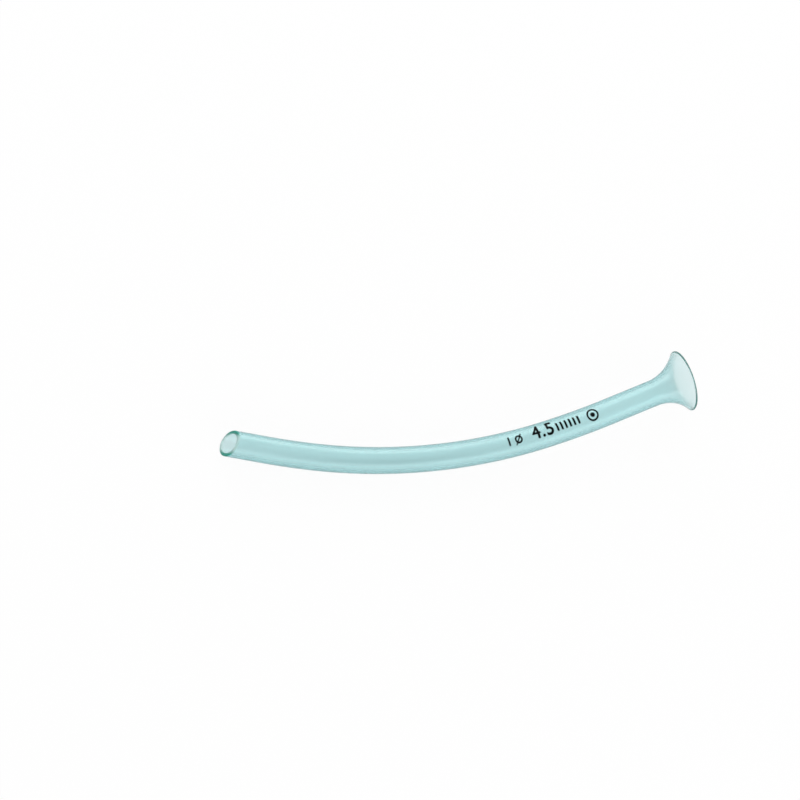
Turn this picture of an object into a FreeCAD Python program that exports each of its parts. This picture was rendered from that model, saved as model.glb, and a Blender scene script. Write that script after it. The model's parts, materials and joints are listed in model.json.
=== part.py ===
"""Nasopharyngeal airway, moulded in one piece from soft clear PVC.

A gently bent tube with a bevelled, rounded tip at one end and a trumpet flare at the other.

It is drawn in its own plane first. The tip's centre is at the origin, the tube sets off along +X,
bends towards +Y, and is flat along Z. The finished solid is then turned into the pose in which it
lies on a table: +Z up, +X from the tip to the flare, the origin under the middle of its box.

Lengths are in millimetres and angles in degrees, unless a name or a docstring says radians.
"""
import FreeCAD
import Part

import math
import os
from collections.abc import Callable
from dataclasses import dataclass

from FreeCAD import Placement, Rotation, Vector

# The tube's section
bore_diameter = 4.5
tube_wall = 0.75

# The centreline from the tip to the flare: two straight ends joined by three tangent arcs
tip_straight_length = 8.0
front_arc_length = 12.0
front_arc_radius = 190.0
bend_length = 56.5
bend_radius = 144.0
rear_arc_length = 17.0
rear_arc_radius = 222.0
neck_straight_length = 10.5

# The trumpet flare: the radius that its outside is swept to, and its rim with the edges broken
flare_sweep_radius = 11.25
rim_diameter = 14.25
rim_wall = 0.5
rim_edge_break = 0.14

# How far the rim leans from square, and towards which side of the tube
rim_lean = 2.5
rim_lean_side = 128.5

# The bevel across the tip, the side that its opening turns to, and its rounded and broken edges
tip_bevel = 13.5
tip_bevel_side = 47.0
tip_round = 0.42
tip_edge_break = 0.15

# Extra stock that a trim takes away
trim_allowance = 1.5

bore_radius = bore_diameter / 2
outer_radius = bore_radius + tube_wall
rim_radius = rim_diameter / 2

AXIS = Vector(1, 0, 0)
INSIDE_OF_BEND = Vector(0, 1, 0)
FLAT_SIDE = Vector(0, 0, 1)


@dataclass(frozen=True)
class Station:
    """A place on the centreline.

    Attributes:
        point: where the station is, in the tube's own plane.
        heading: which way the tube runs there, in radians from +X towards +Y.
    """

    point: Vector
    heading: float

    def along(self) -> Vector:
        """Return the direction that the tube runs in."""
        return Vector(math.cos(self.heading), math.sin(self.heading), 0)

    def inwards(self) -> Vector:
        """Return the direction square to the tube, towards the inside of the bend."""
        return Vector(-math.sin(self.heading), math.cos(self.heading), 0)

    def advance(self, length: float, radius: float = math.inf) -> "Station":
        """Go further along the centreline.

        Args:
            length: how far, measured along the centreline.
            radius: the radius of the bend on the way, infinite for a straight run.

        Returns:
            The station at the end of that run.
        """
        turn = length / radius
        chord = 2 * radius * math.sin(turn / 2) if turn else length
        middle = self.heading + turn / 2
        step = Vector(math.cos(middle), math.sin(middle), 0) * chord
        return Station(self.point + step, self.heading + turn)

    def placement(self) -> Placement:
        """Return the placement that carries what is drawn along +X from the origin to here."""
        return Placement(self.point, Rotation(FLAT_SIDE, math.degrees(self.heading)))


TIP = Station(Vector(0, 0, 0), 0.0)
RUNS = (
    (tip_straight_length, math.inf),
    (front_arc_length, front_arc_radius),
    (bend_length, bend_radius),
    (rear_arc_length, rear_arc_radius),
    (neck_straight_length, math.inf),
)


def station_at(distance: float) -> Station:
    """Find a station by its distance from the tip.

    Args:
        distance: length along the centreline, up to the start of the flare.

    Returns:
        The station at that distance.
    """
    station = TIP
    for length, radius in RUNS:
        step = min(length, distance)
        station = station.advance(step, radius)
        distance -= step
    return station


def leaning(angle: float, side: float) -> Vector:
    """Lean the tube's axis to one side.

    Args:
        angle: how far the axis leans.
        side: the way it leans, counted from the inside of the bend towards the flat side.

    Returns:
        The leaning direction, of length one.
    """
    towards = Rotation(AXIS, side).multVec(INSIDE_OF_BEND)
    return AXIS * math.cos(math.radians(angle)) + towards * math.sin(math.radians(angle))


def face_edges(face: Part.Face) -> list[Part.Edge]:
    """Return the edges round a face, without the seam where a curved face closes on itself."""
    return [edge for edge in face.Edges if not edge.isSeam(face)]


def tip_face(tube: Part.Shape) -> Part.Face:
    """Return the flat cut face at the tip, which is the flat face nearest the origin."""
    flat = [face for face in tube.Faces if isinstance(face.Surface, Part.Plane)]
    return min(flat, key=lambda face: face.CenterOfMass.Length)


def bent_tube() -> Part.Shape:
    """Sweep the tube's ring section along the centreline, then bevel and round the tip.

    Returns:
        The tube from the tip to the start of the flare.
    """
    start = TIP.advance(-trim_allowance)
    path = [Part.LineSegment(start.point, TIP.point).toShape()]
    station = TIP
    for length, radius in RUNS:
        end = station.advance(length, radius)
        if math.isinf(radius):
            path.append(Part.LineSegment(station.point, end.point).toShape())
        else:
            middle = station.advance(length / 2, radius)
            path.append(Part.Arc(station.point, middle.point, end.point).toShape())
        station = end
    rings = [Part.Wire(Part.makeCircle(radius, start.point, AXIS)) for radius in (outer_radius, bore_radius)]
    section = Part.makeFace(rings, "Part::FaceMakerBullseye")
    tube = Part.Wire(path).makePipe(section)

    outwards = leaning(-tip_bevel, tip_bevel_side).negative()
    scrap = Part.makeCylinder(2 * outer_radius, 2 * trim_allowance + outer_radius, TIP.point, outwards)
    tube = tube.cut(scrap)
    outer_edge = max(face_edges(tip_face(tube)), key=lambda edge: edge.Length)
    tube = tube.makeFillet(tip_round, [outer_edge])
    inner_edge = min(face_edges(tip_face(tube)), key=lambda edge: edge.Length)
    return tube.makeChamfer(tip_edge_break, [inner_edge])


def sweep_arc(inside: float, radius: float, turn: float) -> Part.Edge:
    """Draw one side of the flare's wall as an arc that leaves the tube without a step.

    Args:
        inside: the distance from the axis at which the arc starts, running along +X.
        radius: the arc's radius, with its centre on the outside of the flare.
        turn: how far the arc turns outwards, in radians.

    Returns:
        The arc, in the XY plane, as an edge.
    """
    ends = [
        Vector(radius * math.sin(angle), inside + radius * (1 - math.cos(angle)), 0)
        for angle in (0, turn / 2, turn)
    ]
    return Part.Arc(*ends).toShape()


def trumpet_flare() -> Part.Shape:
    """Turn the flare's wall about the axis, trim its rim square to the wall, and break its edges.

    The wall thins from the tube's wall to the rim's wall. The trim is a cone whose side is square
    to the wall at the rim, and it leans a little, so the rim isn't quite square to the tube. The
    cone is given a quarter turn, so that its seam doesn't meet the flare's.

    Returns:
        The flare, from the origin along +X.
    """
    turn = math.acos(1 - (rim_radius - outer_radius) / flare_sweep_radius)
    rim_place = flare_sweep_radius * math.sin(turn)
    inner_rim = Vector(rim_place + rim_wall * math.sin(turn), rim_radius - rim_wall * math.cos(turn), 0)
    inner_rise = inner_rim.y - bore_radius
    inner_sweep_radius = (inner_rim.x**2 + inner_rise**2) / (2 * inner_rise)
    inner_turn = math.asin(inner_rim.x / inner_sweep_radius)

    spare_turn = trim_allowance / flare_sweep_radius
    outer_side = sweep_arc(outer_radius, flare_sweep_radius, turn + spare_turn)
    inner_side = sweep_arc(bore_radius, inner_sweep_radius, inner_turn + spare_turn)
    joins = [
        Part.makeLine(outer_side.valueAt(outer_side.ParameterRange[place]), inner_side.valueAt(end))
        for place, end in enumerate(inner_side.ParameterRange)
    ]
    profile = Part.Face(Part.Wire([outer_side, joins[1], inner_side, joins[0]]))
    flare = profile.revolve(Vector(0, 0, 0), AXIS, 360)

    apex = rim_place + rim_radius * math.tan(turn)
    back = -outer_radius
    cone = Part.makeCone((apex - back) / math.tan(turn), 0, apex - back, Vector(back, 0, 0), AXIS)
    cone.rotate(TIP.point, AXIS, 90)
    cone.rotate(Vector(rim_place, 0, 0), AXIS.cross(leaning(90, rim_lean_side)), rim_lean)
    flare = flare.common(cone)
    rim_face = next(face for face in flare.Faces if isinstance(face.Surface, Part.Cone))
    return flare.makeChamfer(rim_edge_break, face_edges(rim_face))


def airway_solid() -> Part.Shape:
    """Join the flare to the tube.

    Returns:
        The whole airway as one solid, in its own plane.
    """
    flare = trumpet_flare()
    flare.Placement = station_at(sum(length for length, _ in RUNS)).placement()
    return bent_tube().fuse(flare).Solids[0]


def lowest_at(height: Callable[[float], float], low: float, high: float) -> float:
    """Search a valley for its lowest place.

    Args:
        height: a function with one valley between low and high.
        low: the start of the search.
        high: the end of the search.

    Returns:
        The value between low and high at which height is least.
    """
    while high - low > 1e-4:
        third = (high - low) / 3
        if height(low + third) < height(high - third):
            high -= third
        else:
            low += third
    return (low + high) / 2


def resting_placement(airway: Part.Shape) -> Placement:
    """Find how the airway comes to rest on a table.

    It touches the table at the flare's rim and at one place on the outside of the bend, and its
    tip stays clear. Of all such poses it rocks into the one with its centre of mass lowest.

    Args:
        airway: the solid in its own plane, which lies down on its -Z side.

    Returns:
        The placement that turns it into that pose, with its origin under the middle of its box.
    """
    neck_end = station_at(sum(length for length, _ in RUNS))
    rim_reach = -airway.optimalBoundingBox(False, False).ZMin
    rise = rim_radius - outer_radius
    rim = neck_end.advance(math.sqrt(rise * (2 * flare_sweep_radius - rise)))
    centre = airway.CenterOfMass

    def lean_sine(touching: Station) -> float:
        """Return the sine of the lean at which the rim and the tube at a station both touch."""
        rim_offset = touching.inwards().dot(rim.point - touching.point)
        rim_turn = touching.inwards().dot(rim.along())
        square = rim_offset**2 + (rim_reach * rim_turn) ** 2
        half_linear = outer_radius * rim_offset
        constant = outer_radius**2 - rim_reach**2
        return (math.sqrt(half_linear**2 - square * constant) - half_linear) / square

    def centre_height(distance: float) -> float:
        """Return how high the centre of mass is when the tube touches at a distance from its tip."""
        touching = station_at(distance)
        return outer_radius + lean_sine(touching) * touching.inwards().dot(centre - touching.point)

    bend_end = tip_straight_length + front_arc_length + bend_length
    touching = station_at(lowest_at(centre_height, tip_straight_length, bend_end))
    sine = lean_sine(touching)
    up = touching.inwards() * sine + FLAT_SIDE * math.sqrt(1 - sine**2)
    tip_to_rim = rim.point - TIP.point
    forwards = (tip_to_rim - up * up.dot(tip_to_rim)).normalize()
    turned = Placement(Vector(), Rotation(forwards, up.cross(forwards), up, "ZXY").inverted())

    lying = airway.copy()
    lying.Placement = turned
    box = lying.optimalBoundingBox(False, False)
    under_middle = Vector(box.Center.x, box.Center.y, box.ZMin)
    return Placement(under_middle.negative(), turned.Rotation)


def main() -> None:
    """Build the airway, lay it down and write it as a STEP file."""
    airway = airway_solid()
    resting = resting_placement(airway)
    airway.Placement = resting

    neck = station_at(sum(length for length, _ in RUNS) - neck_straight_length / 2)
    tip_bore = station_at(tip_straight_length / 2)
    print("bore at the neck", resting.multVec(neck.point), "out", resting.Rotation.multVec(neck.along()))
    print("bore at the tip", resting.multVec(tip_bore.point), "in", resting.Rotation.multVec(AXIS))
    print("valid", airway.isValid(), "volume", airway.Volume, "centre", airway.CenterOfMass)

    os.makedirs("parts", exist_ok=True)
    airway.exportStep("parts/airway_tube.step")


main()
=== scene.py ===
"""Dress the nasopharyngeal airway: a soft clear PVC tube with a bevelled tip and a trumpet flare.

The wall is modelled in millimetres in the tube's own plane: the tip's centre is at the origin, the
tube sets off along +X, bends towards +Y and is flat along Z. It is then laid down in metres where
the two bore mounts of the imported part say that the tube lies.

Angles are in degrees, and lengths in millimetres, unless a name or a docstring says otherwise.
"""
import json
import logging
import math
from collections.abc import Callable, Iterator
from contextlib import contextmanager
from dataclasses import dataclass
from enum import Enum

import bmesh
import bpy
from mathutils import Matrix, Vector


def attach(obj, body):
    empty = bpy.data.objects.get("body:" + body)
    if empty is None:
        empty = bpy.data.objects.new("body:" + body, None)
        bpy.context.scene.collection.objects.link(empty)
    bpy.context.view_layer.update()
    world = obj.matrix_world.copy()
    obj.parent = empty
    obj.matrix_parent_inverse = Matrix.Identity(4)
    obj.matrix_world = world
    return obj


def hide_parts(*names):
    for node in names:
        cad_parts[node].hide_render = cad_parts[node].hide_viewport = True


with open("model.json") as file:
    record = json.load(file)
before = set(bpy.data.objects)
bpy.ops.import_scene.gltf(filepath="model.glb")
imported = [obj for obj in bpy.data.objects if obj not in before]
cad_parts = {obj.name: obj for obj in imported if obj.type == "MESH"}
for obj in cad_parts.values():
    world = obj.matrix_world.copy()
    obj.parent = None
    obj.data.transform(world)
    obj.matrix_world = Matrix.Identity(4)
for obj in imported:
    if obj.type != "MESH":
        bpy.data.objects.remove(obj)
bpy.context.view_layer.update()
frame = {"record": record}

log = logging.getLogger("airway")

MM = 0.001
NEAR = 0.01
ROUND_STEPS = 6
ORIGIN = Vector((0, 0, 0))
AXIS = Vector((1, 0, 0))
FLAT_SIDE = Vector((0, 0, 1))


def linear(hex_colour: str, alpha: float = 1.0) -> tuple[float, float, float, float]:
    """Turn an sRGB hex colour to the linear values that a shader takes.

    Args:
        hex_colour: the colour as #RRGGBB.
        alpha: the fourth value.

    Returns:
        The linear red, green and blue, and alpha.
    """
    values = [int(hex_colour[place : place + 2], 16) / 255 for place in (1, 3, 5)]
    red, green, blue = (v / 12.92 if v <= 0.04045 else ((v + 0.055) / 1.055) ** 2.4 for v in values)
    return red, green, blue, alpha


def add_node(
    tree: bpy.types.NodeTree, kind: str, inputs: dict[str | int, object], **settings: object
) -> bpy.types.Node:
    """Add a shader node with its settings and links.

    Args:
        tree: the node tree that it goes into.
        kind: the node's type, without ShaderNode in front.
        inputs: for each input, the value that it is set to or the output that it is linked from.
        settings: the node's own properties.

    Returns:
        The new node.
    """
    node = tree.nodes.new("ShaderNode" + kind)
    for name, value in settings.items():
        setattr(node, name, value)
    for name, value in inputs.items():
        if isinstance(value, bpy.types.NodeSocket):
            tree.links.new(value, node.inputs[name])
        else:
            node.inputs[name].default_value = value
    return node


def empty_material(name: str) -> tuple[bpy.types.Material, bpy.types.NodeTree]:
    """Make a material with no nodes in it.

    Args:
        name: the material's name.

    Returns:
        The material and its node tree.
    """
    material = bpy.data.materials.new(name)
    material.use_nodes = True
    material.node_tree.nodes.clear()
    return material, material.node_tree


def add_noise(
    tree: bpy.types.NodeTree, place: bpy.types.NodeSocket, size: float, detail: float
) -> bpy.types.NodeSocket:
    """Add a noise.

    Args:
        tree: the node tree that it goes into.
        place: the coordinates that it is laid out on.
        size: the size of its largest spots.
        detail: how many finer levels it has.

    Returns:
        The noise, from 0 to 1.
    """
    noise = add_node(tree, "TexNoise", {"Vector": place, "Scale": 1 / (size * MM), "Detail": detail})
    return noise.outputs["Fac"]


def add_two_tone(
    tree: bpy.types.NodeTree, share: bpy.types.NodeSocket, first: str, second: str
) -> bpy.types.NodeSocket:
    """Add a colour that goes from one tone to another.

    Args:
        tree: the node tree that it goes into.
        share: how much of the second tone there is, from 0 to 1.
        first: the first tone, as #RRGGBB.
        second: the second tone, as #RRGGBB.

    Returns:
        The colour.
    """
    inputs = {"Factor": share, "A": linear(first), "B": linear(second)}
    return add_node(tree, "Mix", inputs, data_type="RGBA").outputs["Result"]


@dataclass(frozen=True)
class SoftPvc:
    """Plasticised PVC, extruded and then heat-formed at the flare.

    The eye sees a clear blue-green wall with a wet, slightly satin shine. The tint is in the
    plastic itself, so it deepens where the eye looks along the wall.

    Attributes:
        tint: the colour that the plastic lets through.
        tint_per_mm: how strongly it takes out the rest.
        haze: the colour of what the plastic scatters back.
        clearness: the share of the light that it lets through.
        ior: the index of refraction.
        roughness: how satin the shine is.
        roughness_change: how much that changes along the tube.
        flow_mark_spacing: the width of the marks that the melt leaves as it flows.
        flow_mark_stretch: how many times as long as wide those marks are.
        flow_mark_height: how far they stand proud.
    """

    tint: str = "#BDF1F3"
    tint_per_mm: float = 0.8
    haze: str = "#FFFFFF"
    clearness: float = 0.97
    ior: float = 1.53
    roughness: float = 0.2
    roughness_change: float = 0.03
    flow_mark_spacing: float = 6.0
    flow_mark_stretch: float = 4.0
    flow_mark_height: float = 0.02

    def material(self) -> bpy.types.Material:
        """Return the material."""
        material, tree = empty_material("soft_clear_pvc")
        place = add_node(tree, "TexCoord", {})
        stretched = (1 / self.flow_mark_stretch, 1.0, 1.0)
        along = add_node(tree, "Mapping", {"Vector": place.outputs["Object"], "Scale": stretched})
        flow = add_noise(tree, along.outputs["Vector"], self.flow_mark_spacing, 2.0)
        relief = add_node(
            tree, "Bump", {"Height": flow, "Distance": self.flow_mark_height * MM, "Strength": 1.0}
        )
        shine = add_node(
            tree,
            "MapRange",
            {
                "Value": flow,
                "To Min": self.roughness - self.roughness_change,
                "To Max": self.roughness + self.roughness_change,
            },
        )
        surface = add_node(
            tree,
            "BsdfPrincipled",
            {
                "Base Color": linear(self.haze),
                "Roughness": shine.outputs["Result"],
                "IOR": self.ior,
                "Transmission Weight": self.clearness,
                "Normal": relief.outputs["Normal"],
            },
        )
        body = add_node(
            tree, "VolumeAbsorption", {"Color": linear(self.tint), "Density": self.tint_per_mm / MM}
        )
        add_node(
            tree, "OutputMaterial", {"Surface": surface.outputs["BSDF"], "Volume": body.outputs["Volume"]}
        )
        return material


@dataclass(frozen=True)
class CutPvcWithPaintedShade:
    """The same PVC where it is cut across, at the tip and at the flare's rim.

    The blade leaves the face satin. Its deep green is painted shade: it stands in for the tint that
    gathers where the eye looks along the wall, as at the edge of a sheet of glass. It is painted
    all round the flare's rim, and round the tip's opening towards the inside and the outside of the
    bend, with pale green painted between them. It is set by the side of the tip's axis, not by the
    light through the wall.

    Attributes:
        deep: the painted shade, a deep green that stands in for the tint that gathers along the wall.
        pale: the colour between, at the tip.
        pale_within: how far to each side of the tip's axis it is pale.
        deep_from: how far to each side it has turned deep.
        clearness: the share of the light that it lets through.
        roughness: how satin the face is.
        ior: the index of refraction.
    """

    # The deep and pale tones are painted shade, placed by distance from the tip's axis.
    deep: str = "#0AAE96"
    pale: str = "#C4ECE8"
    pale_within: float = 1.4
    deep_from: float = 2.4
    clearness: float = 0.52
    roughness: float = 0.4
    ior: float = 1.53

    def material(self, pose: Matrix) -> bpy.types.Material:
        """Return the material.

        Args:
            pose: the matrix from the tube's own plane to the frame.
        """
        material, tree = empty_material("cut_pvc_edge_painted_shade")
        place = add_node(tree, "TexCoord", {}).outputs["Object"]
        tip = {"Vector": place, "Location": pose.translation, "Rotation": pose.to_euler()}
        from_tip = add_node(tree, "Mapping", tip, vector_type="TEXTURE")
        parts = add_node(tree, "SeparateXYZ", {"Vector": from_tip.outputs["Vector"]})
        aside = add_node(tree, "Math", {0: parts.outputs["Y"]}, operation="ABSOLUTE")
        # Painted shade: the share of deep green grows with distance to either side of the tip's axis.
        painted_shade_share = add_node(
            tree,
            "MapRange",
            {
                "Value": aside.outputs["Value"],
                "From Min": self.pale_within * MM,
                "From Max": self.deep_from * MM,
            },
        )
        surface = add_node(
            tree,
            "BsdfPrincipled",
            {
                "Base Color": add_two_tone(tree, painted_shade_share.outputs["Result"], self.pale, self.deep),
                "Roughness": self.roughness,
                "IOR": self.ior,
                "Transmission Weight": self.clearness,
            },
        )
        add_node(tree, "OutputMaterial", {"Surface": surface.outputs["BSDF"]})
        return material


@dataclass(frozen=True)
class PrintedInk:
    """Black vinyl ink, pad printed.

    The eye sees a dense black film with a soft sheen, a little thinner in places where the pad
    lifted it.

    Attributes:
        dense: the colour where the film is whole.
        thin: the colour where it is thinner.
        roughness: how matt the sheen is.
        gloss: how strong the sheen is, where 0.5 is that of a plain varnish.
        mottle_size: the size of the thinner places.
    """

    dense: str = "#020303"
    thin: str = "#0A0C0D"
    roughness: float = 0.6
    gloss: float = 0.1
    mottle_size: float = 0.35

    def material(self) -> bpy.types.Material:
        """Return the material."""
        material, tree = empty_material("black_pad_print_ink")
        place = add_node(tree, "TexCoord", {})
        mottle = add_noise(tree, place.outputs["Object"], self.mottle_size, 3.0)
        surface = add_node(
            tree,
            "BsdfPrincipled",
            {
                "Base Color": add_two_tone(tree, mottle, self.dense, self.thin),
                "Roughness": self.roughness,
                "Specular IOR Level": self.gloss,
            },
        )
        add_node(tree, "OutputMaterial", {"Surface": surface.outputs["BSDF"]})
        return material


@dataclass(frozen=True)
class WhiteSweep:
    """Matt white card, as a studio table.

    It is white to the camera, with a trace of the tube's shadow left in it. What the tube
    refracts keeps more of that shadow, which gives the tube its darker middle, and what it
    mirrors keeps most of it, which gives the tube its dark edges.

    Attributes:
        card: the card's own colour.
        white_seen: the share of plain white in what the camera sees, beside the lit card.
        white_refracted: the same share in what shows through the tube.
        white_mirrored: the same share in what is mirrored in the tube.
    """

    card: str = "#FFFFFF"
    white_seen: float = 0.95
    white_refracted: float = 0.62
    white_mirrored: float = 0.1

    def material(self) -> bpy.types.Material:
        """Return the material."""
        material, tree = empty_material("matt_white_card")
        card = add_node(tree, "BsdfDiffuse", {"Color": linear(self.card)})
        white = add_node(tree, "Emission", {"Color": linear("#FFFFFF"), "Strength": 1.0})
        path = add_node(tree, "LightPath", {})
        # A refracted ray counts as a glossy one too.
        shares = {
            "Is Glossy Ray": self.white_mirrored,
            "Is Transmission Ray": self.white_refracted - self.white_mirrored,
            "Is Camera Ray": self.white_seen,
        }
        total: float | bpy.types.NodeSocket = 0.0
        for kind, share in shares.items():
            added = add_node(
                tree, "Math", {0: path.outputs[kind], 1: share, 2: total}, operation="MULTIPLY_ADD"
            )
            total = added.outputs["Value"]
        mixed = add_node(
            tree, "MixShader", {"Fac": total, 1: card.outputs["BSDF"], 2: white.outputs["Emission"]}
        )
        add_node(tree, "OutputMaterial", {"Surface": mixed.outputs["Shader"]})
        return material


@contextmanager
def modelling(name: str) -> Iterator[bpy.types.Object]:
    """Open a new, empty piece in edit mode at the origin, and leave edit mode at the end.

    Args:
        name: the piece's name.

    Yields:
        The piece.
    """
    bpy.ops.object.select_all(action="DESELECT")
    piece = bpy.data.objects.new(name, bpy.data.meshes.new(name))
    bpy.context.scene.collection.objects.link(piece)
    bpy.context.view_layer.objects.active = piece
    piece.select_set(True)
    bpy.ops.object.mode_set(mode="EDIT")
    yield piece
    bpy.ops.object.mode_set(mode="OBJECT")


def select_where(piece: bpy.types.Object, test: Callable[[Vector], bool]) -> None:
    """Select, in edit mode, the points that pass a test and what lies between them.

    Args:
        piece: the piece in edit mode.
        test: says of a point whether it is selected.
    """
    mesh = bmesh.from_edit_mesh(piece.data)
    for vertex in mesh.verts:
        vertex.select = test(vertex.co)
    mesh.select_flush_mode()
    bmesh.update_edit_mesh(piece.data)


def turn_selection(angle: float, axis: str, centre: Vector) -> None:
    """Turn what is selected. The operator turns the other way with no window, so it gets -angle.

    Args:
        angle: the turn in radians, by the right-hand rule.
        axis: X, Y or Z.
        centre: the point that stays.
    """
    bpy.ops.transform.rotate(value=-angle, orient_axis=axis, center_override=centre)


def extrude_selection(step: Vector) -> None:
    """Extrude the selected edges.

    Args:
        step: how far, and in which direction.
    """
    bpy.ops.mesh.extrude_edges_move(TRANSFORM_OT_translate={"value": step})


def draw_rings(rings: list[Vector], lean_at: Callable[[float], float]) -> None:
    """Extrude the selected ring along +X from place to place, and resize and lean it at each.

    A ring that leans is stretched by as much, so that it stays round as seen along +X.

    Args:
        rings: the place along +X and the radius of the ring that is selected and of those after it.
        lean_at: gives, for a place, how far the ring's +Y side leans towards +X, in radians.
    """
    for ring, following in zip(rings, rings[1:]):
        extrude_selection(AXIS * (following.x - ring.x))
        centre = AXIS * following.x
        growth = following.y / ring.y
        stretch = growth * math.cos(lean_at(ring.x)) / math.cos(lean_at(following.x))
        turn_selection(lean_at(ring.x), "Z", centre)
        bpy.ops.transform.resize(value=(growth, stretch, growth), center_override=centre)
        turn_selection(-lean_at(following.x), "Z", centre)


def spaced(first: float, last: float, steps: int) -> list[float]:
    """Space values evenly.

    Args:
        first: the first value.
        last: the last value.
        steps: how many steps lie between them.

    Returns:
        The values, the first and the last included.
    """
    return [first + (last - first) * step / steps for step in range(steps + 1)]


def rounded_edge(corner: Vector, ahead: Vector, into: Vector, radius: float) -> list[Vector]:
    """Round the corner where one side of a wall meets its cut end.

    Args:
        corner: the corner, as a place along +X and a distance from the axis.
        ahead: the direction along the side, towards the corner.
        into: the direction across the end, into the wall.
        radius: the radius of the rounding.

    Returns:
        The points from the side, round the corner, to the end.
    """
    centre = corner + (into - ahead) * radius
    angles = spaced(0, math.pi / 2, ROUND_STEPS)
    return [centre + (ahead * math.sin(angle) - into * math.cos(angle)) * radius for angle in angles]


@dataclass(frozen=True)
class Station:
    """A place on the centreline.

    Attributes:
        point: where it is, in the tube's own plane.
        heading: which way the tube runs there, in radians from +X towards +Y.
    """

    point: Vector
    heading: float

    def along(self) -> Vector:
        """Return the direction that the tube runs in."""
        return Vector((math.cos(self.heading), math.sin(self.heading), 0))

    def inwards(self) -> Vector:
        """Return the direction square to the tube, towards the inside of the bend."""
        return Vector((-math.sin(self.heading), math.cos(self.heading), 0))

    def advance(self, length: float, radius: float = math.inf) -> "Station":
        """Go further along the centreline.

        Args:
            length: how far, measured along the centreline.
            radius: the radius of the bend on the way, infinite for a straight run.

        Returns:
            The station at the end of that run.
        """
        turn = length / radius
        chord = 2 * radius * math.sin(turn / 2) if turn else length
        middle = self.heading + turn / 2
        step = Vector((math.cos(middle), math.sin(middle), 0)) * chord
        return Station(self.point + step, self.heading + turn)

    def matrix(self, side: float = 0.0) -> Matrix:
        """Carry what is drawn at the origin to this station.

        Args:
            side: how far it is first turned about +X, from the inside of the bend to the flat side.

        Returns:
            The matrix that turns it and moves it.
        """
        roll = Matrix.Rotation(math.radians(side), 4, "X")
        return Matrix.Translation(self.point) @ Matrix.Rotation(self.heading, 4, "Z") @ roll


@dataclass(frozen=True)
class Centreline:
    """The line that the tube follows: two straight ends joined by three tangent arcs.

    Attributes:
        tip_straight: the straight run at the tip.
        arcs: the length and radius of each arc.
        neck_straight: the straight run before the flare.
    """

    tip_straight: float = 8.0
    arcs: tuple[tuple[float, float], ...] = ((12.0, 190.0), (56.5, 144.0), (17.0, 222.0))
    neck_straight: float = 10.93

    def station(self, distance: float) -> Station:
        """Find a station.

        Args:
            distance: how far it is from the tip, up to the start of the flare.

        Returns:
            The station.
        """
        station = Station(ORIGIN, 0.0)
        runs = [(self.tip_straight, math.inf), *self.arcs, (self.neck_straight, math.inf)]
        for length, radius in runs:
            step = min(length, distance)
            station = station.advance(step, radius)
            distance -= step
        return station

    def neck_end(self) -> Station:
        """Return the station at which the flare starts."""
        return self.station(self.tip_straight + sum(length for length, _ in self.arcs) + self.neck_straight)


@dataclass(frozen=True)
class Section:
    """The tube's ring section, and how finely its mesh is divided.

    Attributes:
        bore_radius: the radius of the bore.
        outer_radius: the radius of the outside.
        points: the number of points round each ring.
        pitch: the distance between rings along the tube.
    """

    bore_radius: float = 2.25
    outer_radius: float = 3.0
    points: int = 128
    pitch: float = 0.5

    def steps(self, length: float) -> int:
        """Divide a run.

        Args:
            length: the length of the run.

        Returns:
            How many steps its rings are apart, end to end.
        """
        return max(1, round(length / self.pitch))

    def add_ring(self, place: float, unroll: float) -> None:
        """Add the outside's circle in edit mode, square to +X.

        Args:
            place: the distance along +X at which it is added.
            unroll: how far it is turned back, for a part that is rolled by as much afterwards.
        """
        bpy.ops.mesh.primitive_circle_add(
            vertices=self.points,
            radius=self.outer_radius,
            location=(place, 0, 0),
            rotation=(0, math.pi / 2, 0),
        )
        turn_selection(-math.radians(unroll), "X", ORIGIN)


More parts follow.
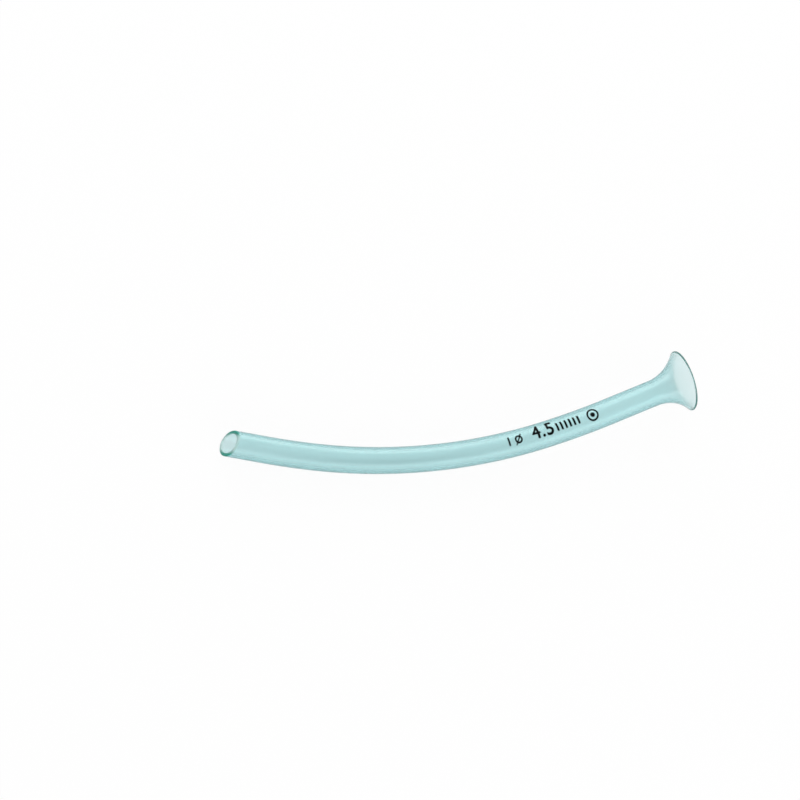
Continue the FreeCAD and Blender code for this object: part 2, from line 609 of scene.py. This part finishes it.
@dataclass(frozen=True)
class BentTube:
    """The tube from its bevelled tip to the start of the flare.

    Attributes:
        line: the centreline.
        section: the ring section.
        reach: how far the middle of the tip's cut lies ahead of the centreline's start.
        bevel: how far the cut across the tip leans from square.
        bevel_side: the side that the opening turns to, from the inside of the bend.
        bevel_start: how far from the tip the rings stop being square.
        outer_round: the radius that the tip's outer edge is rounded to.
        inner_round: the radius that the tip's inner edge is rounded to.
        edge_guard: how close to each rounding the last ring before it lies, to keep the wall's
            shading true up to there.
    """

    line: Centreline
    section: Section
    reach: float = 0.175
    bevel: float = 21.5
    bevel_side: float = 54.0
    bevel_start: float = 2.0
    outer_round: float = 0.3
    inner_round: float = 0.15
    edge_guard: float = 0.05

    def model(self) -> bpy.types.Object:
        """Model the tube and return it."""
        with modelling("tube_wall") as piece:
            self.draw_tip()
            self.sweep(piece)
        return piece

    def at_cut(self, point: Vector) -> bool:
        """Tell the cut face from the rest.

        Args:
            point: a point of the tube.

        Returns:
            Whether it is on the cut across the tip or on the rounded edges of that.
        """
        side = math.radians(self.bevel_side)
        towards_side = point.y * math.cos(side) + point.z * math.sin(side)
        depth = point.x - towards_side * math.tan(math.radians(self.bevel)) + self.reach
        return depth < self.outer_round + NEAR

    def draw_tip(self) -> None:
        """Draw the tip's straight wall: down its outside, round the cut end and back up the bore.

        The opening faces +Y while it is shaped, and is then rolled to its side. From the bevel's
        start the rings lean more and more, up to the bevel.
        """
        outer, bore = self.section.outer_radius, self.section.bore_radius
        far = self.line.tip_straight
        ahead, into = Vector((-1, 0)), Vector((0, -1))
        outer_edge = rounded_edge(Vector((-self.reach, outer)), ahead, into, self.outer_round)
        inner_edge = rounded_edge(Vector((-self.reach, bore)), ahead, -into, self.inner_round)[::-1]
        guard = outer_edge[0].x + self.edge_guard
        places = spaced(far, self.bevel_start, self.section.steps(far - self.bevel_start))
        places += spaced(self.bevel_start, guard, ROUND_STEPS)[1:]

        def lean_at(place: float) -> float:
            """Return how far the ring at a place leans: from none at the bevel's start to all."""
            share = (self.bevel_start - place) / (self.bevel_start - guard)
            return math.radians(self.bevel) * min(max(share, 0.0), 1.0)

        self.section.add_ring(far, self.bevel_side)
        outside = [Vector((place, outer)) for place in places]
        inner_guard = inner_edge[-1].x + self.edge_guard
        inside = [Vector((place, bore)) for place in (inner_guard, *reversed(places))]
        draw_rings([*outside, *outer_edge, *inner_edge, *inside], lean_at)
        bpy.ops.mesh.select_all(action="SELECT")
        turn_selection(math.radians(self.bevel_side), "X", ORIGIN)

    def sweep(self, piece: bpy.types.Object) -> None:
        """Spin both sides of the wall round each arc, then draw them along the neck.

        Args:
            piece: the tube, with its tip drawn.
        """
        select_where(piece, lambda point: abs(point.x - self.line.tip_straight) < NEAR)
        station = self.line.station(self.line.tip_straight)
        for length, radius in self.line.arcs:
            centre = station.point + station.inwards() * radius
            bpy.ops.mesh.spin(
                steps=self.section.steps(length), angle=-length / radius, center=centre, axis=FLAT_SIDE
            )
            station = station.advance(length, radius)
        steps = self.section.steps(self.line.neck_straight)
        for _ in range(steps):
            extrude_selection(station.along() * (self.line.neck_straight / steps))


@dataclass(frozen=True)
class TrumpetFlare:
    """The flare that stops the airway at the nostril.

    Attributes:
        section: the tube's section, from which it starts.
        sweep_radius: the radius that the outside is swept to.
        rim_radius: the radius of the rim.
        rim_wall: the thickness of the wall at the rim.
        rim_round: the radius that the rim's edges are rounded to.
        lean: how far the rim leans from square.
        lean_side: the side that it leans to, from the inside of the bend.
        cut_margin: how far past the rim's outer corner the cut face begins.
        steps: the number of rings on each side of the wall.
    """

    section: Section
    sweep_radius: float = 10.07
    rim_radius: float = 7.125
    rim_wall: float = 0.5
    rim_round: float = 0.2
    lean: float = 5.9
    lean_side: float = 122.3
    cut_margin: float = 0.12
    steps: int = 32

    def model(self) -> bpy.types.Object:
        """Model the flare along +X from the origin: up its outside, round the rim and back down.

        The rim leans towards +Y while it is shaped, and the rings under it lean less and less.
        """
        outer, bore = self.section.outer_radius, self.section.bore_radius
        turn = self.turn()
        outer_corner = Vector((self.sweep_radius * math.sin(turn), self.rim_radius))
        across = Vector((math.sin(turn), -math.cos(turn)))
        inner_corner = outer_corner + across * self.rim_wall
        outer_side, outer_edge = self.wall_side(outer, outer_corner, across)
        inner_side, inner_edge = self.wall_side(bore, inner_corner, -across)

        def lean_at(place: float) -> float:
            """Return how far the ring at a place leans: the more, the nearer it is to the rim."""
            return -math.radians(self.lean) * min((place / outer_edge[0].x) ** 2, 1.0)

        with modelling("flare_wall") as piece:
            self.section.add_ring(0.0, self.lean_side)
            draw_rings([*outer_side, *outer_edge, *inner_edge[::-1], *inner_side[::-1]], lean_at)
            bpy.ops.mesh.select_all(action="SELECT")
            turn_selection(math.radians(self.lean_side), "X", ORIGIN)
        return piece

    def turn(self) -> float:
        """Return how far the outside turns from the tube to the rim, in radians."""
        return math.acos(1 - (self.rim_radius - self.section.outer_radius) / self.sweep_radius)

    def at_cut(self, point: Vector) -> bool:
        """Tell the cut face from the rest.

        Args:
            point: a point of the flare, where the flare lies along +X from the origin.

        Returns:
            Whether it is on the cut face of the rim.
        """
        side = math.radians(self.lean_side)
        towards_side = point.y * math.cos(side) + point.z * math.sin(side)
        along = point.x + towards_side * math.tan(math.radians(self.lean))
        return along > self.sweep_radius * math.sin(self.turn()) + self.cut_margin

    def wall_side(self, start: float, corner: Vector, into: Vector) -> tuple[list[Vector], list[Vector]]:
        """Work out the rings on one side of the wall.

        Args:
            start: the radius of the side's first ring.
            corner: where the side meets the wall's cut end.
            into: the direction from the side into the wall, along that end.

        Returns:
            The rings from the tube nearly to the rim, and the rings round the rim's edge.
        """
        rise = corner.y - start
        radius = (corner.x**2 + rise**2) / (2 * rise)
        turn = math.asin(corner.x / radius)
        ahead = Vector((math.cos(turn), math.sin(turn)))
        last = turn - 2 * self.rim_round / radius
        side = [
            Vector((radius * math.sin(angle), start + radius * (1 - math.cos(angle))))
            for angle in spaced(0, last, self.steps)
        ]
        return side, rounded_edge(corner, ahead, into, self.rim_round)


def resting_pose(record: dict, line: Centreline) -> Matrix:
    """Find where the tube lies, from the part's two bore mounts.

    Args:
        record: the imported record.
        line: the centreline.

    Returns:
        The matrix from the tube's own plane, in millimetres, to the frame, in metres.
    """
    mounts = {mount["name"]: mount for mount in record["mounts"]}
    out_of_tip = Vector(mounts["lumen_outlet"]["axis"]).normalized()
    out_of_flare = Vector(mounts["lumen"]["axis"])
    along = -out_of_tip
    flat_side = along.cross(out_of_flare).normalized()
    inwards = flat_side.cross(along)
    outlet_depth = line.tip_straight - mounts["lumen_outlet"]["dims"]["length_mm"] / 2
    tip = Vector(mounts["lumen_outlet"]["pos_m"]) + out_of_tip * outlet_depth * MM
    turned = Matrix((along, inwards, flat_side)).transposed().to_4x4()
    return Matrix.Translation(tip) @ turned @ Matrix.Scale(MM, 4)


class Outline(Enum):
    """The plain shapes that the marks are made of."""

    BLOCK = "a filled block"
    DISC = "a filled disc"
    RING = "an open ring"


@dataclass(frozen=True)
class Shape:
    """One plain shape of a mark.

    Attributes:
        outline: what it is.
        place: its middle, along the tube and up from the middle of the mark.
        width: its size along the tube.
        height: its size across the tube.
        turned: how far it is turned.
    """

    outline: Outline
    place: tuple[float, float]
    width: float
    height: float
    turned: float = 0.0


@dataclass(frozen=True)
class PrintedMark:
    """A mark printed on the outside of the tube.

    Attributes:
        name: the piece's name.
        along: the distance of its middle from the tip, along the centreline.
        side: the side that it faces, from the inside of the bend towards the flat side.
        shapes: the plain shapes in it.
        number: the number in it, if any.
        number_size: the size of the number's figures.
    """

    name: str
    along: float
    side: float
    shapes: tuple[Shape, ...] = ()
    number: str = ""
    number_size: float = 0.0


@dataclass(frozen=True)
class Print:
    """The black print on the side of the tube: the bore's size as a number, between plain marks.

    Attributes:
        stroke: the width of the strokes.
        weight: how far the number's strokes are thickened on each side.
        spacing: how wide the number's figures are spaced, where 1 is the font's own spacing.
        slice_height: how finely the flat marks are cut across, so that they bend round the tube.
        film: the thickness of the ink.
        disc_points: the number of points round a disc or a ring.
        finish: what the print is made of.
        marks: the marks from the tip to the flare.
    """

    stroke: float = 0.4
    weight: float = 0.09
    spacing: float = 1.09
    slice_height: float = 0.2
    film: float = 0.02
    disc_points: int = 48
    finish: PrintedInk = PrintedInk()
    marks: tuple[PrintedMark, ...] = (
        PrintedMark(
            "diameter_sign",
            68.2,
            71.0,
            (
                Shape(Outline.BLOCK, (-2.1, 0.0), 0.42, 2.0),
                Shape(Outline.RING, (0.3, 0.0), 1.9, 1.9),
                Shape(Outline.BLOCK, (0.3, 0.0), 0.3, 2.9, -35.0),
            ),
        ),
        PrintedMark("bore_number", 74.8, 64.0, number="4.5", number_size=4.2),
        PrintedMark(
            "scale_bars",
            81.15,
            66.0,
            tuple(Shape(Outline.BLOCK, (1.08 * (step - 2.5), 0.0), 0.5, 1.9) for step in range(6)),
        ),
        PrintedMark(
            "index_ring",
            87.55,
            68.0,
            (Shape(Outline.RING, (0.0, 0.0), 2.9, 2.9), Shape(Outline.DISC, (0.0, 0.0), 1.1, 1.1)),
        ),
    )

    def build(self, wall: bpy.types.Object, line: Centreline, section: Section) -> list[bpy.types.Object]:
        """Print every mark onto the wall, in the tube's own plane.

        Args:
            wall: the wall, in the tube's own plane.
            line: the tube's centreline.
            section: the tube's section.

        Returns:
            The marks, each as a thin film.
        """
        material = self.finish.material()
        pieces = []
        for mark in self.marks:
            piece = self.draw_number(mark) if mark.number else self.draw_shapes(mark)
            self.slice_across(piece)
            over_wall = Matrix.Translation((0, 0, 2 * section.outer_radius))
            piece.matrix_world = line.station(mark.along).matrix(mark.side - 90) @ over_wall
            self.press_on(piece, wall)
            piece.data.materials.clear()
            piece.data.materials.append(material)
            pieces.append(piece)
        return pieces

    def draw_shapes(self, mark: PrintedMark) -> bpy.types.Object:
        """Draw a mark of plain shapes.

        Args:
            mark: the mark.

        Returns:
            The mark, flat at the origin.
        """
        with modelling(mark.name) as piece:
            for shape in mark.shapes:
                bpy.ops.mesh.select_all(action="DESELECT")
                place = (*shape.place, 0)
                if shape.outline is Outline.BLOCK:
                    bpy.ops.mesh.primitive_plane_add(size=1, location=place)
                else:
                    bpy.ops.mesh.primitive_circle_add(
                        vertices=self.disc_points, radius=0.5, fill_type="NGON", location=place
                    )
                bpy.ops.transform.resize(value=(shape.width, shape.height, 1), center_override=place)
                turn_selection(math.radians(shape.turned), "Z", Vector(place))
                if shape.outline is Outline.RING:
                    bpy.ops.mesh.inset(thickness=self.stroke)
                    bpy.ops.mesh.delete(type="FACE")
        return piece

    def draw_number(self, mark: PrintedMark) -> bpy.types.Object:
        """Draw a mark that is a number.

        Args:
            mark: the mark.

        Returns:
            The mark, flat at the origin.
        """
        bpy.ops.object.select_all(action="DESELECT")
        bpy.ops.object.text_add()
        piece = bpy.context.object
        piece.name = mark.name
        piece.data.body = mark.number
        piece.data.size = mark.number_size
        piece.data.space_character = self.spacing
        piece.data.align_x = "CENTER"
        piece.data.align_y = "CENTER"
        bpy.ops.object.convert(target="MESH")
        self.embolden(piece)
        return piece

    def embolden(self, piece: bpy.types.Object) -> None:
        """Thicken a number's strokes. The font's own weight would fill the hole in the 4.

        Args:
            piece: the number, flat at the origin.
        """
        mesh = bmesh.new()
        mesh.from_mesh(piece.data)
        bmesh.ops.remove_doubles(mesh, verts=mesh.verts, dist=2 * NEAR)
        outwards: dict[bmesh.types.BMVert, list[Vector]] = {}
        for edge in mesh.edges:
            if edge.is_boundary:
                loop = edge.link_loops[0]
                along = loop.link_loop_next.vert.co - loop.vert.co
                away = along.cross(loop.face.normal).normalized()
                for vertex in edge.verts:
                    outwards.setdefault(vertex, []).append(away)
        for vertex, (one, other) in outwards.items():
            vertex.co += (one + other) / (1 + one.dot(other)) * self.weight
        mesh.to_mesh(piece.data)
        mesh.free()

    def slice_across(self, piece: bpy.types.Object) -> None:
        """Cut a mark across into thin strips, so that it bends round the tube.

        Args:
            piece: the mark, flat at the origin.
        """
        bpy.ops.object.mode_set(mode="EDIT")
        bpy.ops.mesh.select_all(action="SELECT")
        bpy.ops.mesh.remove_doubles(threshold=NEAR / 10)
        reach = max(abs(vertex.co.y) for vertex in piece.data.vertices)
        strips = math.ceil(reach / self.slice_height)
        for strip in range(-strips, strips + 1):
            bpy.ops.mesh.select_all(action="SELECT")
            bpy.ops.mesh.bisect(plane_co=(0, strip * self.slice_height, 0), plane_no=(0, 1, 0))
        bpy.ops.object.mode_set(mode="OBJECT")

    def press_on(self, piece: bpy.types.Object, wall: bpy.types.Object) -> None:
        """Press a mark onto the wall and give the ink its thickness.

        Args:
            piece: the mark, flat and over its place on the wall.
            wall: the wall.
        """
        wrap = piece.modifiers.new("press", "SHRINKWRAP")
        wrap.target = wall
        wrap.wrap_method = "PROJECT"
        wrap.use_project_z = True
        wrap.use_negative_direction = True
        wrap.use_positive_direction = False
        wrap.wrap_mode = "ABOVE_SURFACE"
        wrap.offset = self.film / 2
        bpy.ops.object.modifier_apply(modifier=wrap.name)
        film = piece.modifiers.new("film", "SOLIDIFY")
        film.thickness = self.film
        film.offset = 1.0
        bpy.ops.object.modifier_apply(modifier=film.name)


@dataclass(frozen=True)
class Airway:
    """The whole airway.

    Attributes:
        line: its centreline.
        section: its section.
        finish: what the wall is made of.
        cut_face_and_painted_shade: what it looks like where it is cut across, with a deep green painted
            shade on the cut faces.
        ink: what is printed on it.
    """

    line: Centreline = Centreline()
    section: Section = Section()
    finish: SoftPvc = SoftPvc()
    cut_face_and_painted_shade: CutPvcWithPaintedShade = CutPvcWithPaintedShade()
    ink: Print = Print()

    def build(self, pose: Matrix) -> None:
        """Model the wall and its print, and lay them down on the table.

        Args:
            pose: the matrix from the tube's own plane to the frame.
        """
        wall = self.wall(pose)
        marks = self.ink.build(wall, self.line, self.section)
        for piece in (wall, *marks):
            lay_down(piece, pose)
            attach(piece, "root")
            log.info("%s: %d faces", piece.name, len(piece.data.polygons))
        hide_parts("airway_tube")

    def wall(self, pose: Matrix) -> bpy.types.Object:
        """Model the wall as one closed skin and dress it.

        Args:
            pose: the matrix from the tube's own plane to the frame.

        Returns:
            The wall, in the tube's own plane.
        """
        tube = BentTube(self.line, self.section)
        flare = TrumpetFlare(self.section)
        mouth = self.line.neck_end().matrix()
        to_flare = mouth.inverted()
        flared = flare.model()
        wall = tube.model()
        flared.matrix_world = mouth
        flared.select_set(True)
        bpy.ops.object.join()
        wall.name = "airway_wall"
        wall.data.materials.append(self.finish.material())
        # The cut faces get the material with the painted shade.
        wall.data.materials.append(self.cut_face_and_painted_shade.material(pose))
        wall.active_material_index = 1
        bpy.ops.object.mode_set(mode="EDIT")
        bpy.ops.mesh.select_all(action="SELECT")
        bpy.ops.mesh.remove_doubles(threshold=NEAR)
        bpy.ops.mesh.select_all(action="SELECT")
        bpy.ops.mesh.normals_make_consistent(inside=False)
        select_where(wall, lambda point: tube.at_cut(point) or flare.at_cut(to_flare @ point))
        bpy.ops.object.material_slot_assign()
        bpy.ops.object.mode_set(mode="OBJECT")
        bpy.ops.object.shade_smooth()
        return wall


def lay_down(piece: bpy.types.Object, pose: Matrix) -> None:
    """Carry a piece from the tube's own plane to where the tube lies, with its place in its mesh.

    Args:
        piece: the piece.
        pose: the matrix from the tube's own plane to the frame.
    """
    bpy.ops.object.select_all(action="DESELECT")
    piece.select_set(True)
    bpy.context.view_layer.objects.active = piece
    piece.matrix_world = pose @ piece.matrix_world
    bpy.ops.object.transform_apply(location=True, rotation=True, scale=True)


@dataclass(frozen=True)
class Softbox:
    """A lamp behind a white cloth, which faces the middle of the airway.

    Attributes:
        name: its name.
        bearing: where it stands, from +X towards +Y.
        elevation: how high it stands over the table.
        distance: how far away it stands, in metres.
        width: its width, in metres.
        height: its height, in metres.
        power: its power in watts.
    """

    name: str
    bearing: float
    elevation: float
    distance: float
    width: float
    height: float
    power: float

    def build(self) -> None:
        """Stand it up."""
        lamp = bpy.data.lights.new(self.name, "AREA")
        lamp.shape = "RECTANGLE"
        lamp.size = self.width
        lamp.size_y = self.height
        lamp.energy = self.power
        softbox = bpy.data.objects.new(self.name, lamp)
        bearing, rise = math.radians(self.bearing), math.radians(self.elevation)
        level = math.cos(rise)
        away = Vector((math.cos(bearing) * level, math.sin(bearing) * level, math.sin(rise)))
        softbox.location = away * self.distance
        softbox.rotation_euler = away.to_track_quat("Z", "Y").to_euler()
        bpy.context.scene.collection.objects.link(softbox)


@dataclass(frozen=True)
class Studio:
    """The table, the lamps and the camera.

    Attributes:
        turned_down: how far the tip's straight run points down in the picture.
        swing: how far the camera stands from square to the tube's plane, towards the tip.
        distance: how far away the camera stands.
        aim: the point that the camera looks at, across and up in the picture from the tip.
        offset: how far the camera stands from straight over that point, across and up.
        lens: the camera's focal length.
        sensor: the width of the camera's sensor.
        nearest: the nearest that the camera sees, in metres.
        card_size: the size of the white card, in metres.
        room_light: the strength of the even light from all round.
        softboxes: the softboxes beside it.
    """

    turned_down: float = 9.885
    swing: float = 21.78
    distance: float = 1060.0
    aim: tuple[float, float] = (52.0, 2.0)
    offset: tuple[float, float] = (-10.95, 7.52)
    lens: float = 213.6
    sensor: float = 36.0
    nearest: float = 0.05
    card_size: float = 4.0
    room_light: float = 0.62
    softboxes: tuple[Softbox, ...] = (
        Softbox("far_softbox", 82.0, 22.0, 0.6, 0.9, 0.45, 2.5),
        Softbox("near_softbox", -75.0, 22.0, 0.6, 0.9, 0.45, 1.5),
    )

    def camera(self, pose: Matrix) -> None:
        """Stand the camera where the photographer's was, on a long lens.

        Args:
            pose: the matrix from the tube's own plane to the frame.
        """
        level = Matrix.Rotation(math.radians(self.turned_down), 4, "Z")
        swung = Matrix.Rotation(-math.radians(self.swing), 4, "Y")
        look = level @ Matrix.Translation((*self.aim, 0)) @ swung
        stand = pose @ look @ Matrix.Translation((*self.offset, self.distance))
        camera = bpy.data.objects.new("camera", bpy.data.cameras.new("camera"))
        bpy.context.scene.collection.objects.link(camera)
        camera.data.lens = self.lens
        camera.data.sensor_width = self.sensor
        camera.data.clip_start = self.nearest
        camera.matrix_world = Matrix.LocRotScale(stand.translation, stand.to_quaternion(), None)
        bpy.context.scene.camera = camera

    def table(self) -> None:
        """Lay the white card that the airway lies on."""
        bpy.ops.mesh.primitive_plane_add(size=self.card_size, location=(0, 0, 0))
        card = bpy.context.object
        card.name = "white_card"
        card.data.materials.append(WhiteSweep().material())

    def lamps(self) -> None:
        """Light it evenly from all round, with the softboxes beside it."""
        world = bpy.data.worlds.new("studio")
        world.use_nodes = True
        world.node_tree.nodes.clear()
        glow = add_node(
            world.node_tree, "Background", {"Color": linear("#FFFFFF"), "Strength": self.room_light}
        )
        add_node(world.node_tree, "OutputWorld", {"Surface": glow.outputs["Background"]})
        bpy.context.scene.world = world
        for softbox in self.softboxes:
            softbox.build()


def main() -> None:
    """Build the airway and the studio."""
    logging.basicConfig(level=logging.INFO, format="%(message)s")
    airway = Airway()
    pose = resting_pose(frame["record"], airway.line)
    airway.build(pose)
    studio = Studio()
    studio.table()
    studio.lamps()
    studio.camera(pose)
    bpy.context.scene.view_settings.view_transform = "Standard"


if __name__ == "__main__":
    main()
